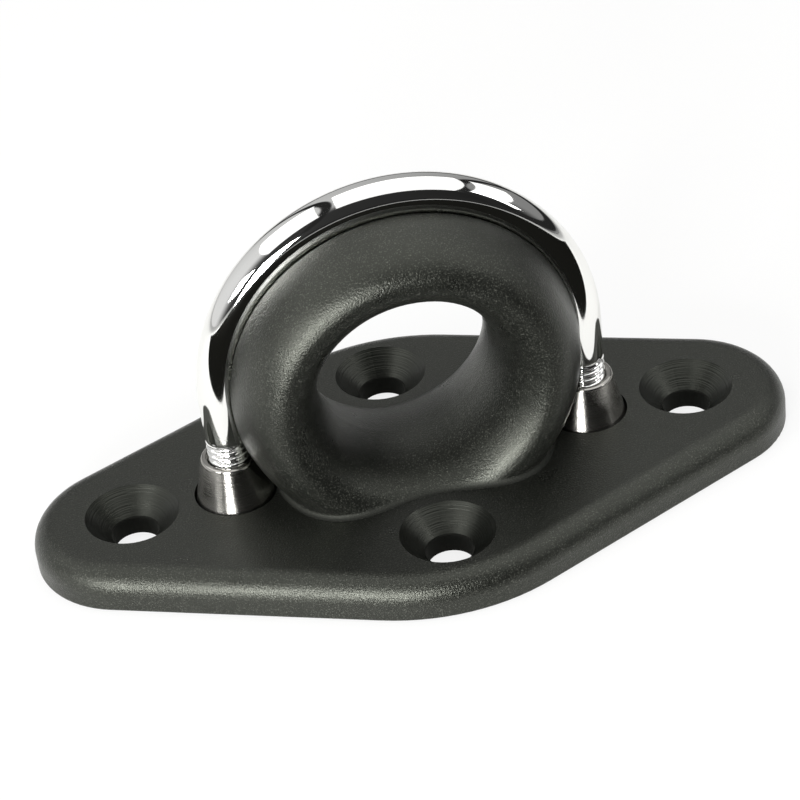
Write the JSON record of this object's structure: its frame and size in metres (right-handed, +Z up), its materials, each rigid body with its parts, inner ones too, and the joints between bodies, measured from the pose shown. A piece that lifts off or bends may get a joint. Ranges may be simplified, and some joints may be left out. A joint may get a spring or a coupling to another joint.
{
  "type": "rope fairlead eye",
  "caption": "Deck fairlead: a black nylon diamond base with countersunk screw holes carries an upright flared eye for a rope, with a polished stainless bow seated round its rim.",
  "frame": {"origin": "middle of the underside of the base, on the deck", "axes": "+Z up from the deck, Y along the rope through the eye, X along the long side of the base"},
  "size_m": [0.108, 0.06, 0.0501],
  "materials": {
    "black_nylon": "moulded glass-filled nylon, satin with a fine grain",
    "polished_stainless": "mirror polished",
    "turned_stainless": "fine turned"
  },
  "bodies": {
    "root": {"moulded_body": "black_nylon", "steel_bow": "polished_stainless", "left_sleeve_nut": "turned_stainless", "right_sleeve_nut": "turned_stainless"}
  },
  "joints": []
}
